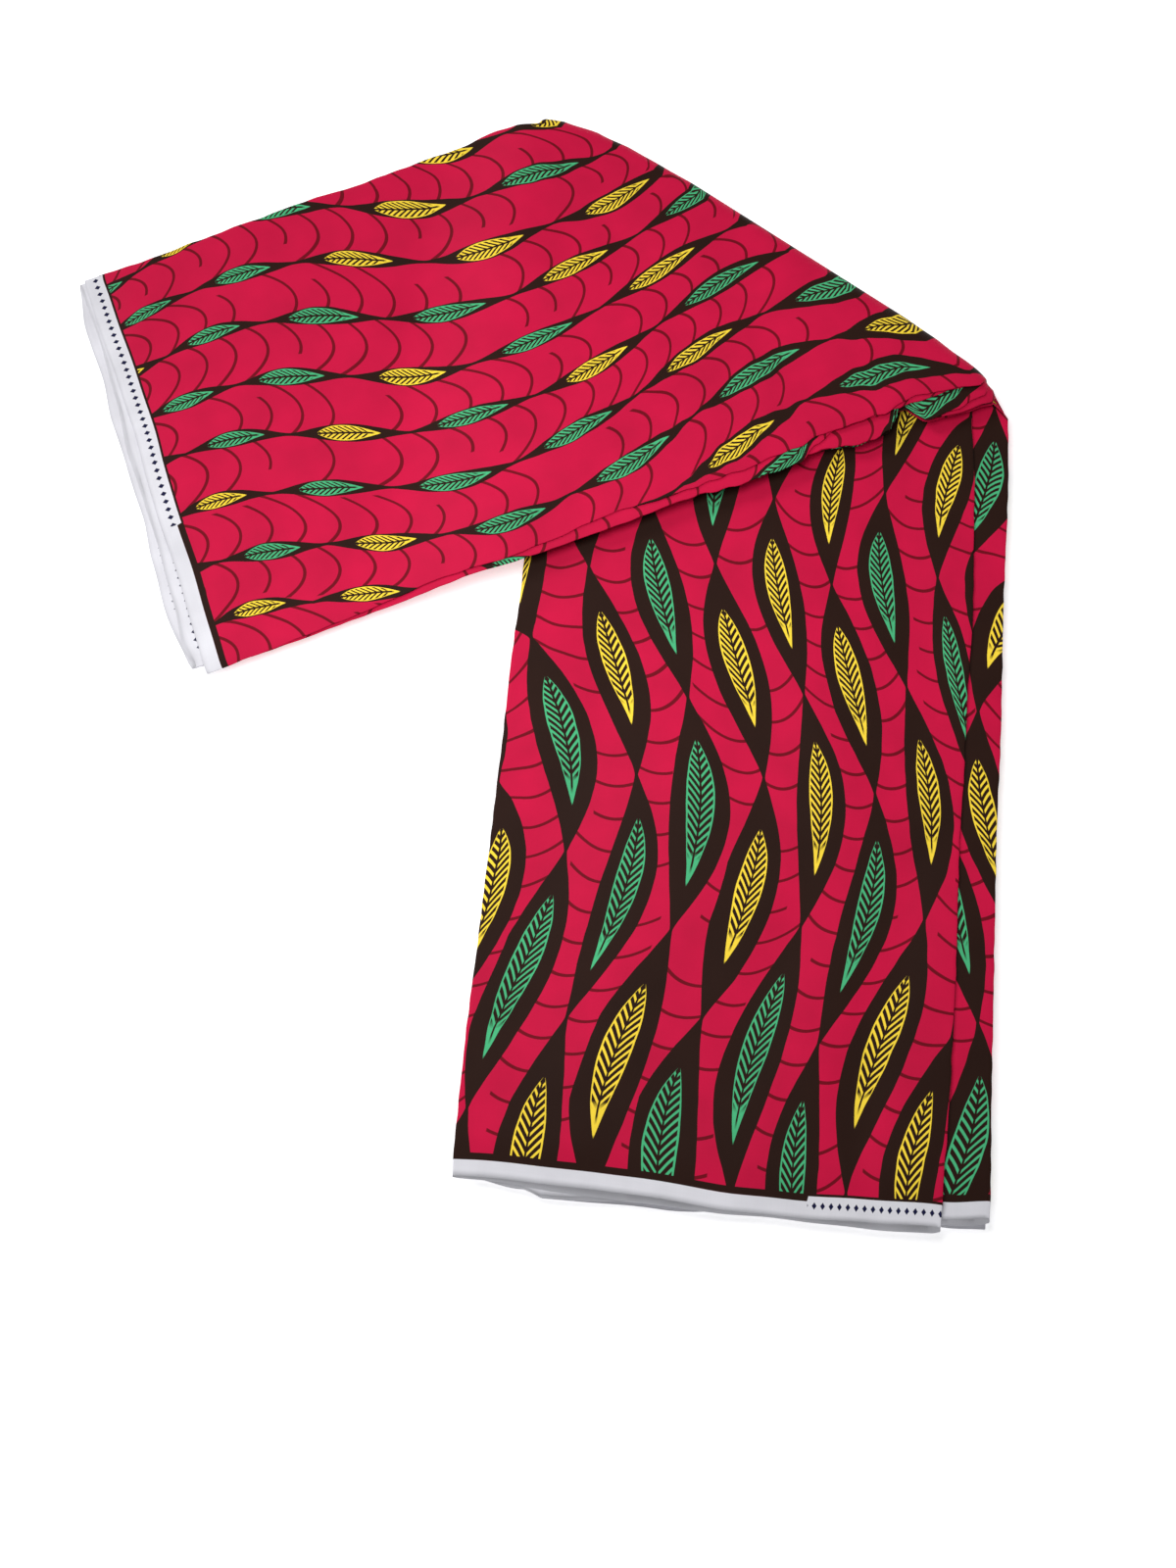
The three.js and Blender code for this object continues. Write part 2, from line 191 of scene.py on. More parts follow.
# %% Short tables of the folded edges
EDGES = {
    # place along the arm, edge at -t, edge at +t
    "upper top": [
        (-106, -8, -14), (-94, -8, -12.5), (-76, -8, -16), (-58, -8, -19), (-42, -8, -20.9), (-14, -8, -16),
        (26, -8, -16), (60, -8, -11.9), (100, -8, -9), (123, -2.5, -8.8), (146, 4, -7.8), (165, 6.5, -8),
        (189, 4.4, -9.8), (212, 5.5, -8), (236, 3.8, -5), (276, 1.5, -3), (306, 2.3, -5.2), (328, 1.8, -6.8),
        (353, -0.4, -5.5), (399, -3.2, -2.5), (423, -5.3, -1), (445, -6.7, 0.5), (487, -6, 2),
    ],
    "upper second": [
        (-106, -10, -17), (20, -10, -17), (36, -10, -11), (52, -10, -2.2), (68, -10, -0.4), (112, -9, 0),
        (131, -4, -2.6), (162, 3, -1.5), (185, 2.5, 0), (265, 0.5, 1), (308, 0, -1), (370, -4, -1.6),
        (437, -6.5, 0.3), (458, -7, 0.5), (478, -7.5, -5), (500, -8, -6),
    ],
    "upper third": [
        (-106, -11, -5.9), (-87, -11, -5.9), (-65, -11, -2.1), (-45, -11, -1.2), (-30, -11, -19),
        (-22, -11, -9), (-16, -11, -3.2), (0, -11, -1), (10, -11, 0), (23, -11, -3.8), (35, -11, -5.8),
        (100, -11, -4), (165, 1, -3), (370, -6, -5), (505, -9, -6),
    ],
    "lower top": [
        (-110, -11, -15), (-90, -11, -15), (0, 0, -20), (104, 2, -25), (125, 2, -24), (180, 1, -21),
        (278, -3.6, -20), (345, -1.8, -22.5), (384, -1.8, -23), (450, -1, -25), (520, 0, -25),
        (600, 1.5, -26.2), (630, 1.5, -27.4), (667, 1.4, -29.2), (701, 0.4, -30),
    ],
    "lower ledge": [
        (-110, -12, 0), (-90, -12, 0), (0, -3, 0.5), (104, -2, 1.6), (175, -3, 2.8), (278, -5, 1.2),
        (355, -3.6, 1.2), (440, -3, -0.3), (600, -1.5, -0.2), (680, -2, 0.6), (701, -3, 0.6),
    ],
}
print("rows:", {name: len(rows) for name, rows in EDGES.items()})

# %% [markdown]
# The ends are tables too, of how far the selvedge lies from the bend. The layers of a real stack never end in
# one line, so each ply's ends are shifted a little from the next. One more table pulls the bend back from its
# straight line, most of all at its ends.

# %% Short tables of the ends, and of the bend
ENDS = {
    # place across the strip, distance from the bend
    "upper top": [(-168, 486), (-27, 487), (49, 490), (168, 493)],
    "upper second": [(-168, 488), (-60, 490), (0, 493), (110, 498), (150, 500), (168, 497)],
    "upper third": [
        (-168, 491), (-130, 497), (-86, 496), (-44, 499), (38, 501), (78, 504), (117, 506), (168, 503),
    ],
    "lower top": [(-168, 692), (-60, 696.5), (7, 700), (138, 701), (168, 701)],
    "lower ledge": [(-168, 688), (-127, 695), (-114, 700), (-39, 697), (20, 694), (141, 694), (168, 692)],
}
BEND_PULL = [
    # place along the bend, how far it is pulled back
    (-205, 20), (-186, 12.3), (-163, 6.2), (-138, 2.7), (-112, 1.4), (-85, 0),
    (100, 0), (127, 1), (154, 3.1), (181, 4.8), (199, 6.5),
]


def eased(table, place, column=1):
    """Reads one column of a table at each place, easing from row to row."""
    rows = np.array(table, float)
    place = np.clip(place, rows[0, 0], rows[-1, 0])
    row = np.clip(np.searchsorted(rows[:, 0], place, side="right") - 1, 0, len(rows) - 2)
    part = (place - rows[row, 0]) / (rows[row + 1, 0] - rows[row, 0])
    part = part * part * (3 - 2 * part)
    return rows[row, column] + (rows[row + 1, column] - rows[row, column]) * part


print("bend pulled back at its two ends, mm:", eased(BEND_PULL, np.array([-205, 199])))

# %% [markdown]
# ## Sixteen layers, eight plies
#
# Two layers of cotton with one folded edge make a ply 1.2 mm thick. Eight plies lie 1.4 mm apart. The lowest
# ply of the lower arm goes round the outside of the turn and ends up on top of the upper arm. So one number,
# its depth, places a ply everywhere: at that height in the lower arm, and that far below the top in the upper
# one. Between the two it rolls round a half circle.

# %% Heights
WALL = 1.2
PITCH = 1.4
PLIES = 8
GAP = 0.3                       # between the two arms, where one lies on the other
ARM_HEIGHT = 11.0
STEP_UP = ARM_HEIGHT + GAP      # what lies on the lower arm is this much above the table
TURN_HEIGHT = STEP_UP - GAP / 2 # the axis of the roll
RAMP_START = 14.0               # the upper arm starts down this far past the lower arm's left edge ...
RAMP_LENGTH = 86.0              # ... and is down on the table this much further on
depth_of = [PITCH * index for index in range(PLIES)]
print("plies lie at depths", [round(depth, 1) for depth in depth_of], "mm")


def smooth(part):
    """Eases a part from 0 to 1, and holds it there."""
    part = np.clip(part, 0, 1)
    return part * part * (3 - 2 * part)


def support(points):
    """How high the upper arm's underside lies, at points in the plan."""
    past = -(points - BEND_MIDDLE) @ lower_across - HALF
    return STEP_UP * (1 - smooth((past - RAMP_START) / RAMP_LENGTH))


# %% [markdown]
# ## Soft troughs and ridges
#
# Folded cotton that was pressed by hand still swells and dips a little. A cloth simulation would make creases
# too, but not where they are wanted, so each row below places one: where it starts and ends, how wide it is
# and how high. A negative height is a trough. The stack gets thicker or thinner with it, the top ply most and
# the bottom one not at all, so the plies stay clear of each other.

# %% Creases
CREASES = {
    # s and t of one end, s and t of the other, width, height
    "upper": [
        (455, -120, 300, -60, 30, 1.3), (440, 40, 250, 95, 22, -1.5), (330, -150, 200, -20, 26, -1.4),
        (260, 130, 120, 60, 20, 1.2), (150, -90, 40, 40, 24, -1.1), (60, 110, -60, 90, 18, 1.3),
        (480, -20, 390, 140, 14, 0.9), (210, -100, 130, 10, 18, 0.9), (-20, 60, 90, -40, 16, 0.9),
        (492, -90, 440, -110, 8, 0.8), (492, 62, 452, 40, 7, -0.7), (490, 128, 430, 112, 8, 0.7),
    ],
    "lower": [
        (660, -100, 420, -40, 32, 1.4), (640, 80, 470, 110, 20, -1.4), (520, -140, 330, -90, 22, -1.2),
        (430, 60, 240, 20, 28, 1.3), (330, 120, 190, 90, 18, -1.1), (600, 10, 500, 40, 18, -1.0),
        (260, -120, 180, -60, 20, 1.1), (696, -40, 640, -62, 8, 0.7), (698, 96, 650, 84, 7, -0.6),
    ],
}
SWELL, RUMPLE = 0.22, 0.17
CREASED = {"lower": (125, 120), "upper": (-130, 90)}  # the s where creases begin, and their fade length


def crease_height(arm, s, t):
    """The height in mm that the creases add to an arm's top."""
    height = np.zeros_like(s)
    for s0, t0, s1, t1, width, rise in CREASES[arm]:
        span = np.array([s1 - s0, t1 - t0])
        along = ((s - s0) * span[0] + (t - t0) * span[1]) / (span @ span)
        nearest = np.clip(along, 0, 1)
        away = np.hypot(s - s0 - nearest * span[0], t - t0 - nearest * span[1])
        height += rise * np.exp(-(away / width) ** 2)
    height += SWELL * np.sin(s / 31 + 1.7 * np.sin(t / 47)) * np.sin(t / 39 + 0.8)
    height += RUMPLE * np.sin(s / 9 + 1.3 * np.sin(t / 21)) * np.sin(t / 10 + 1.1 * np.sin(s / 33))
    begin, length = CREASED[arm]
    return height * smooth((s - begin) / length)


print("creases:", {arm: len(rows) for arm, rows in CREASES.items()})

# %% [markdown]
# ## Where a point of a ply lies
#
# The bend cuts the strip at a slant, so the s at which an arm meets it depends on t, and t depends in turn on
# the edge tables at that s. A few rounds of working out one from the other settle both. The functions take
# whole arrays of points, which numpy does in one go.

# %% The plan of an arm
BEND_PER_T = {arm: (v["across"] @ bend_out) / -(v["along"] @ bend_out) for arm, v in ARMS.items()}
PULL_PER_S = {arm: -(v["along"] @ bend_out) for arm, v in ARMS.items()}
BLEND = 70.0          # over this length a hidden arm eases into the other arm's shape at the bend
CORNER_WIDTH = 13.0   # a ply's corners at the bend are rounded off this far from its edges
CROSSING = 40         # the s of the middle of the stretch where the upper arm crosses the lower one
CRINKLE, CRINKLE_AT_CROSSING = 0.35, 1.1


def plan(arm, s, t):
    """Points in the plan, in mm, from strip coordinates."""
    return BEND_MIDDLE + s[..., None] * ARMS[arm]["along"] + t[..., None] * ARMS[arm]["across"]


def bend_start(ply, arm, t):
    """The s at which a ply's arm meets the bend, a little further out at its corners, which are round."""
    straight = BEND_PER_T[arm] * t
    x = (plan(arm, straight, t) - BEND_MIDDLE) @ bend_along
    pull = eased(BEND_PULL, x)
    for side in (-1, 1):
        from_edge = HALF + edge_at_bend(ply, side) - side * t
        pull = pull + ply["corner"] * np.clip(1 - from_edge / CORNER_WIDTH, 0, 1.2) ** 2
    return straight + pull / PULL_PER_S[arm]


def edge_at_bend(ply, side):
    """How far a ply's folded edge lies outside the straight strip where it meets the bend."""
    lead = ply["leads"]
    place = BEND_PER_T[lead] * side * HALF
    return eased(EDGES[ply["edges"][lead]], place, 1 if side < 0 else 2) + ply["out"][lead]


def crinkle(ply, arm, side, s):
    """Small waves along a folded edge, livelier where the upper arm crosses the lower one."""
    phase = ply["seed"] + (2.1 if side > 0 else 0.4)
    wave = 0.55 * np.sin(s / 4.3 + phase) * np.sin(s / 17 + 2 * phase) + 0.3 * np.sin(s / 2.6 + 3 * phase)
    extra = CRINKLE_AT_CROSSING if arm == "upper" and side > 0 else 0.0
    lively = CRINKLE + extra * smooth((150 - np.abs(s - CROSSING)) / 60)
    near_bend = smooth((s - BEND_PER_T[arm] * side * HALF - 8) / 20)
    return wave * lively * near_bend


def edge(ply, arm, side, s):
    """How far a ply's folded edge lies outside the straight strip."""
    table, column = EDGES[ply["edges"][arm]], 1 if side < 0 else 2
    value = eased(table, s, column) + ply["out"][arm]
    if arm != ply["leads"]:
        bend = BEND_PER_T[arm] * side * HALF
        own = eased(table, bend, column) + ply["out"][arm]
        value = value + (edge_at_bend(ply, side) - own) * (1 - smooth((s - bend) / BLEND))
    return value + crinkle(ply, arm, side, s)


def across(ply, arm, s, ring):
    """The t of each point of a ring, at each s."""
    reach = np.where(ring["part"] < 0, edge(ply, arm, -1, s), edge(ply, arm, 1, s)) + HALF
    return ring["part"] * (reach - WALL / 2) + np.sign(ring["part"]) * ring["bulge"]


print("the bend runs", round(BEND_PER_T["lower"], 3), "mm along the lower arm for each mm across it")

# %% [markdown]
# ## The section of a ply
#
# Cut across, a ply is a flat loop: its outer face from one edge to the other, a small round fold, its inner
# face back again, and the other fold. A plane with Solidify would give square edges, so the ring below lists
# the loop itself. Each point has its part of the half width, how far it stands out into the fold, and its
# level between the outer face (0) and the inner one (1).

# %% The ring
FOLD_STEPS = 3
SOFT_EDGE, SOFT_WIDTH = 0.3, 8.0  # the outer face sinks by this part of the wall over the last 8 mm
CROWDING = 0.33                   # how much closer together the steps are at the edges


def make_ring(steps):
    """A ply's loop with a number of steps across each face, closer together near the edges."""
    spread = np.linspace(-1, 1, steps + 1)
    spread = spread * (1 + CROWDING - CROWDING * spread**2)
    sunk = SOFT_EDGE * np.clip(1 - (1 - np.abs(spread)) * HALF / SOFT_WIDTH, 0, 1) ** 2
    turn = np.pi * np.arange(1, FOLD_STEPS + 1) / (FOLD_STEPS + 1)
    bulge = np.sin(turn) * WALL / 2
    level = SOFT_EDGE + (1 - SOFT_EDGE) * (1 - np.cos(turn)) / 2
    ones = np.ones(FOLD_STEPS)
    ring = {
        "part": np.concatenate([spread, ones, spread[::-1], -ones]),
        "bulge": np.concatenate([0 * spread, bulge, 0 * spread, bulge]),
        "level": np.concatenate([sunk, level, 0 * spread + 1, level[::-1]]),
        "steps": steps,
    }
    place = np.stack([ring["part"] * HALF + np.sign(ring["part"]) * ring["bulge"], ring["level"] * WALL], 1)
    sides = np.linalg.norm(np.roll(place, -1, 0) - place, axis=1)
    ring["girth"] = sides.sum()
    ring["along_loop"] = np.concatenate([[0], np.cumsum(sides)[:-1]])
    return ring


print("a ply's loop is", round(make_ring(40)["girth"], 1), "mm round")

# %% [markdown]
# ## Rows of rings
#
# A ply is skinned over rows of rings, from the selvedge of the lower arm, through the bend, to the selvedge
# of the upper arm. At each end the two layers part: the ring steps in by one layer of cotton, runs back
# inside and closes there, so that the end shows two thin edges and not a solid bar.

# %% Rings in space
LAYER = 0.36                    # one layer of cotton
MOUTH = 9.0                     # how far back the two layers part
END_PRESS, PRESS_OVER = 0.16, 30.0  # the stack is this much thinner at its ends, over this length
SLIDE_ANGLE = 0.6 * math.pi     # the part of the roll that slides along the bend
SETTLING_ROUNDS = 6
CLOTH_WIDTH = 1190.0


def ends_of(ply, arm, ring):
    """The s at which each point of a ring ends: the inner layer ends a little off the outer one."""
    t = ring["part"] * HALF
    shift = ply["lip"][arm] * (1 + 0.5 * np.sin(t / 33 + ply["seed"]))
    ragged = 0.5 * np.sin(t / 27 + ply["seed"]) + 0.2 * np.sin(t / 9.5 + 2 * ply["seed"])
    return eased(ENDS[ply["edges"][arm]], t) - ply["back"][arm] + ragged + shift * ring["level"]


def arm_ring(ply, arm, ring, part, inset=0.0, back=0.0, squeeze=1.0):
    """One ring of an arm, part of the way from the bend to the end, and each point's way along the cloth."""
    s = bend_start(ply, arm, ring["part"] * HALF)
    for _ in range(SETTLING_ROUNDS):
        s = bend_start(ply, arm, across(ply, arm, s, ring))
    start, end = s, ends_of(ply, arm, ring)
    s = start + (end - start) * part - back
    t = across(ply, arm, s, ring) - np.sign(ring["part"]) * inset * (ring["bulge"] > 0)
    flat = plan(arm, s, t)
    depth = ply["depth"] + WALL * (0.5 + (ring["level"] - 0.5) * squeeze)
    rise = depth if arm == "lower" else ARM_HEIGHT - depth
    thicker = 1 + crease_height(arm, s, t) / ARM_HEIGHT
    thicker = thicker * (1 - END_PRESS * smooth(1 - (end - s) / PRESS_OVER))
    height = rise * thicker + (0 if arm == "lower" else support(flat))
    return np.column_stack([flat, height]), s - start


def roll_ring(ply, ring, angle):
    """One ring of the half circle round the bend, from the lower arm (angle 0) to the upper arm (angle pi).

    Where the bend is pulled back, the two arms start at different places along it. Cotton gives on the bias,
    so the lower half of the roll slides from one to the other.
    """
    lower_start, upper_start = (arm_ring(ply, arm, ring, 0.0)[0][:, :2] for arm in ("lower", "upper"))
    base = lower_start + (upper_start - lower_start) * smooth(angle / SLIDE_ANGLE)
    radius = TURN_HEIGHT - ply["depth"] - WALL * ring["level"]
    out = radius * np.sin(angle)
    return np.column_stack([base + out[:, None] * bend_out, TURN_HEIGHT - radius * np.cos(angle)])


print("cloth is", CLOTH_WIDTH, "mm wide, and its layers part over the last", MOUTH, "mm")

# %% [markdown]
# ## Skinning a ply
#
# The rows become one closed mesh. Each corner of each face also gets a place in the UV map, in metres of real
# cloth: U runs round the loop, and V from the left selvedge to the other one. The print and the weave are
# drawn in those coordinates, so the pattern follows the cloth through every fold. The loop has to be cut open
# somewhere, and the cut lies in the middle of the face that is never seen.

# %% Build one ply
LOWER_RUN, UPPER_RUN = 700, 490  # about how long the arms are, which sets how many rows they get
EXTRA_ROWS = 3                   # and each arm has these more, for its end
SEEN_DEPTH = 4.0                 # plies less deep than this show at the bend, and get more rows there
SEEN_ROLL, HIDDEN_ROLL = 14, 8
OUTER_MIDDLE, INNER_MIDDLE = 0.25, 0.75  # the middle of each face, as a part of the way round the loop


def row_counts(step):
    """How many rows the lower and the upper arm get."""
    return round(LOWER_RUN / step), round(UPPER_RUN / step)


def ply_rows(ply, ring, step):
    """All rings of a ply in order, with each point's distance along the cloth, in mm."""
    lower_count, upper_count = row_counts(step)
    roll_count = SEEN_ROLL if ply["depth"] < SEEN_DEPTH else HIDDEN_ROLL
    rows = []
    mouth = dict(inset=LAYER, squeeze=1 - 2 * LAYER / WALL)
    floor_of_mouth = dict(inset=2 * LAYER, squeeze=0.05, back=MOUTH)
    for extra in (floor_of_mouth, mouth, {}):
        rows.append(arm_ring(ply, "lower", ring, 1.0, **extra))
    for part in np.linspace(1, 0, lower_count + 1)[1:]:
        rows.append(arm_ring(ply, "lower", ring, part))
    lower_length = rows[2][1]
    rows = [(points, lower_length - run) for points, run in rows]
    radius = TURN_HEIGHT - ply["depth"] - WALL / 2
    for angle in np.pi * np.arange(1, roll_count) / roll_count:
        rows.append((roll_ring(ply, ring, angle), lower_length + radius * angle))
    arc = lower_length + radius * np.pi
    for part in np.linspace(0, 1, upper_count + 1):
        points, run = arm_ring(ply, "upper", ring, part)
        rows.append((points, arc + run))
    for extra in (mouth, floor_of_mouth):
        points, run = arm_ring(ply, "upper", ring, 1.0, **extra)
        rows.append((points, arc + run))
    total = rows[-3][1]
    return [(points, CLOTH_WIDTH * (1 - run / total)) for points, run in rows]


def end_faces(ring):
    """Faces that close the floor of a mouth, from the outer layer to the inner one."""
    n, folds = ring["steps"] + 1, FOLD_STEPS
    outer = list(range(n))
    plus = list(range(n, n + folds))
    inner = list(range(n + folds, 2 * n + folds))[::-1]
    minus = list(range(2 * n + folds, 2 * n + 2 * folds))[::-1]
    faces = [(outer[i], outer[i + 1], inner[i + 1], inner[i]) for i in range(n - 1)]
    faces += [(outer[-1], plus[0], plus[2], inner[-1]), (plus[0], plus[1], plus[2])]
    faces += [(inner[0], minus[2], minus[0], outer[0]), (minus[2], minus[1], minus[0])]
    return faces


def build_ply(ply, steps, step):
    """A ply as a mesh object, closed, with its UV map in metres of cloth."""
    ring = make_ring(steps)
    rows = ply_rows(ply, ring, step)
    count = len(ring["part"])
    points = np.concatenate([row[0] for row in rows]) * MM
    here = np.arange(count)
    after = (here + 1) % count
    grid = np.arange(len(rows) - 1)[:, None] * count
    quads = np.stack([grid + here, grid + after, grid + after + count, grid + here + count], 2)
    quads = [tuple(quad) for quad in quads.reshape(-1, 4).tolist()]
    last = (len(rows) - 1) * count
    caps = [tuple(face) for face in end_faces(ring)]
    caps_far = [tuple(last + corner for corner in face[::-1]) for face in caps]
    mesh = bpy.data.meshes.new(ply["name"])
    mesh.from_pydata(points, [], quads + caps + caps_far)

    loop = ring["along_loop"]
    seam = ring["girth"] * (INNER_MIDDLE if ply["leads"] == "upper" else OUTER_MIDDLE)
    u = np.where(loop > seam, loop - ring["girth"], loop) + ply["print_start"] / MM
    u_after = u + np.append(np.diff(loop), ring["girth"] - loop[-1])
    v = np.stack([row[1] for row in rows])
    side_u = np.stack([u, u_after, u_after, u], 1)
    quad_u = np.broadcast_to(side_u, (len(rows) - 1, count, 4)).reshape(-1)
    quad_v = np.stack([v[:-1], v[:-1, after], v[1:, after], v[1:]], 2).reshape(-1)
    cap_corners = np.array([corner for face in caps + caps_far for corner in face])
    cap_u = u[cap_corners % count]
    cap_v = v.reshape(-1)[cap_corners]
    layer = mesh.uv_layers.new(name="cloth")
    uv = np.stack([np.append(quad_u, cap_u), np.append(quad_v, cap_v)], 1) * MM
    layer.data.foreach_set("uv", uv.astype(np.float32).reshape(-1))
    mesh.polygons.foreach_set("use_smooth", np.ones(len(mesh.polygons), bool))
    mesh.update()
    piece = bpy.data.objects.new(ply["name"], mesh)
    scene.collection.objects.link(piece)
    print(ply["name"], len(mesh.polygons), "faces, height", np.round(points[:, 2].max() / MM, 1), "mm")
    return piece


# %% [markdown]
# ## The plies that show
#
# Five plies show, and each is built one by one: three fan out at the left end and at the bend, and two lie
# open on the lower arm. Each takes its edges from one table in each arm. At the bend its two arms have to
# meet, so one of them leads there, the one that shows. The last number shifts the print along the cloth.

# %% The plies that show
def new_ply(
    name, index, upper, lower, leads, out=(0, 0), back=(0, 0), lip=(2, 2), corner=4.5, print_start=0.0
):
    """What sets one ply apart: its place in the stack, its tables, and small shifts, as (upper, lower)."""
    return {
        "name": name,
        "depth": depth_of[index],
        "edges": {"upper": upper, "lower": lower},
        "leads": leads,
        "out": dict(zip(("upper", "lower"), out)),
        "back": dict(zip(("upper", "lower"), back)),
        "lip": dict(zip(("upper", "lower"), lip)),
        "corner": corner,
        "seed": 1.3 * index + 0.7,
        "print_start": print_start,
    }


FINE, COARSE = (54, 3.6), (26, 7.0)  # steps across a ply, and mm from row to row
shown = [
    new_ply("top_ply", 0, "upper top", "lower ledge", "upper",
            out=(0, -3), back=(0, 6), lip=(-2, 2), corner=1.8),
    new_ply("second_ply", 1, "upper second", "lower ledge", "upper",
            out=(0, -1.5), back=(0, 2), lip=(2, 3), print_start=1.012),
    new_ply("third_ply", 2, "upper third", "lower ledge", "upper",
            out=(0, -3.5), back=(0, 5), lip=(-3, -2), print_start=1.70),
    new_ply("ledge_ply", 6, "upper third", "lower ledge", "lower",
            out=(-2, 0), back=(6, 0), lip=(-3, -3), print_start=4.11),
    new_ply("end_ply", 7, "upper third", "lower top", "lower",
            out=(-4, 0), back=(9, 0), lip=(3, -3), print_start=4.4045),
]
pieces = {p["name"]: build_ply(p, *FINE) for p in shown}

# %% [markdown]
# ## The plies inside
#
# The other three plies are seen only at their edges and repeat one shape, each one pitch further in than the
# last: down on the upper arm, up on the lower one, and round the bend toward the roll's axis. An Array
# modifier moves every point the same way, so it can't do that. Instead one ply is built with the way inward
# stored on its points. A Geometry Nodes tree copies it, moves each copy inward, slides its edges and ends a
# few millimetres so that no two layers line up, and gives it the next stretch of the print.

# %% The ply that is copied
inner_ply = new_ply("inner_plies", 3, "upper third", "lower ledge", "lower",
                    out=(-2, -1), back=(7, 3), lip=(2, -2), print_start=2.06)
inner_plies = build_ply(inner_ply, *COARSE)


def store_directions(piece, steps, step):
    """Stores on each point the way inward, and the way across and along its arm."""
    count = len(make_ring(steps)["part"])
    lower_rows, upper_rows = (rows + EXTRA_ROWS for rows in row_counts(step))
    rolls = len(piece.data.vertices) // count - lower_rows - upper_rows
    rolled = np.pi * np.arange(1, rolls + 1) / (rolls + 1)
    angles = np.concatenate([np.zeros(lower_rows), rolled, np.full(upper_rows, np.pi)])
    inward = np.stack([-np.sin(angles) * bend_out[0], -np.sin(angles) * bend_out[1], np.cos(angles)], 1)
    lower = (angles < np.pi / 2)[:, None]
    straight = 1 - np.sin(angles)[:, None]
    ways = {"inward": inward}
    for way in ("across", "along"):
        below, above = (np.append(ARMS[arm][way], 0) for arm in ("lower", "upper"))
        ways[way] = np.where(lower, below, above) * straight
    for name, rows in ways.items():
        attribute = piece.data.attributes.new(name, "FLOAT_VECTOR", "POINT")
        attribute.data.foreach_set("vector", np.repeat(rows, count, 0).astype(np.float32).reshape(-1))


store_directions(inner_plies, *COARSE)
print("directions stored on", len(inner_plies.data.vertices), "points")

# %% The tree that copies it
NESTED = PLIES - len(shown)     # the plies that are not built one by one
SLIDE = 0.006                   # how far edges and ends may slide, in metres
SEED = 5
PRINT_STEP = 4 * HALF * MM      # one ply takes this much of the cloth's length
WAVES_PER_METRE = 5.0

nest = bpy.data.node_groups.new("nested plies", "GeometryNodeTree")


def tree_input(name, kind, value=None):
    """Adds a named input to the tree and returns its socket identifier."""
    socket = nest.interface.new_socket(name, in_out="INPUT", socket_type=kind)
    if value is not None:
        socket.default_value = value
    return socket.identifier


tree_input("Ply", "NodeSocketGeometry")
plies_input = tree_input("Plies", "NodeSocketInt", NESTED)
pitch_input = tree_input("Pitch", "NodeSocketFloat", PITCH * MM)
slide_input = tree_input("Slide", "NodeSocketFloat", SLIDE)
print_input = tree_input("Print step", "NodeSocketFloat", PRINT_STEP)
seed_input = tree_input("Seed", "NodeSocketInt", SEED)
cotton_input = tree_input("Cotton", "NodeSocketMaterial")
nest.interface.new_socket("Plies", in_out="OUTPUT", socket_type="NodeSocketGeometry")

enter = nest.nodes.new("NodeGroupInput")
leave = nest.nodes.new("NodeGroupOutput")


def add(kind, links=(), **settings):
    """Adds a node to the tree, sets it up and links sockets into it."""
    node = nest.nodes.new(kind)
    for name, value in settings.items():
        setattr(node, name, value)
    feed(node, dict(links))
    return node


def calc(operation, first, second):
    """The result of a Math node."""
    return add("ShaderNodeMath", [(0, first), (1, second)], operation=operation).outputs[0]


def vector_calc(operation, first, second):
    """The result of a Vector Math node."""
    return add("ShaderNodeVectorMath", [(0, first), (1, second)], operation=operation).outputs[0]


def scaled(vector, amount):
    """A vector times a number."""
    return add("ShaderNodeVectorMath", [(0, vector), ("Scale", amount)], operation="SCALE").outputs[0]


def named(name, kind="FLOAT_VECTOR"):
    """The value stored under a name on the mesh."""
    return add("GeometryNodeInputNamedAttribute", [("Name", name)], data_type=kind).outputs["Attribute"]


def stored(geometry, name, value, kind, domain):
    """Geometry with a value stored on it under a name."""
    links = [("Geometry", geometry), ("Name", name), ("Value", value)]
    return add("GeometryNodeStoreNamedAttribute", links, data_type=kind, domain=domain).outputs[0]


places = add("GeometryNodeMeshLine", [("Count", enter.outputs["Plies"]), ("Offset", (0.0, 0.0, 0.0))])
number = add("GeometryNodeInputIndex")
numbered = stored(places.outputs[0], "nest", number.outputs[0], "FLOAT", "POINT")
copies = add("GeometryNodeInstanceOnPoints", [("Points", numbered), ("Instance", enter.outputs["Ply"])])
real = add("GeometryNodeRealizeInstances", [("Geometry", copies.outputs[0])])

copy_number = named("nest", "FLOAT")
seeded = calc("ADD", copy_number, enter.outputs["Seed"])
wave_links = [("Scale", WAVES_PER_METRE), ("Detail", 2.0), ("W", seeded)]
waves = add("ShaderNodeTexNoise", wave_links, noise_dimensions="4D")
centred = vector_calc("SUBTRACT", waves.outputs["Color"], (0.5, 0.5, 0.5))
parts = add("ShaderNodeSeparateXYZ", [(0, centred)])
shift = scaled(named("inward"), calc("MULTIPLY", copy_number, enter.outputs["Pitch"]))
for way, part in (("across", parts.outputs[0]), ("along", parts.outputs[1])):
    slide = calc("MULTIPLY", part, enter.outputs["Slide"])
    shift = vector_calc("ADD", shift, scaled(named(way), slide))
moved = add("GeometryNodeSetPosition", [("Geometry", real.outputs[0]), ("Offset", shift)])

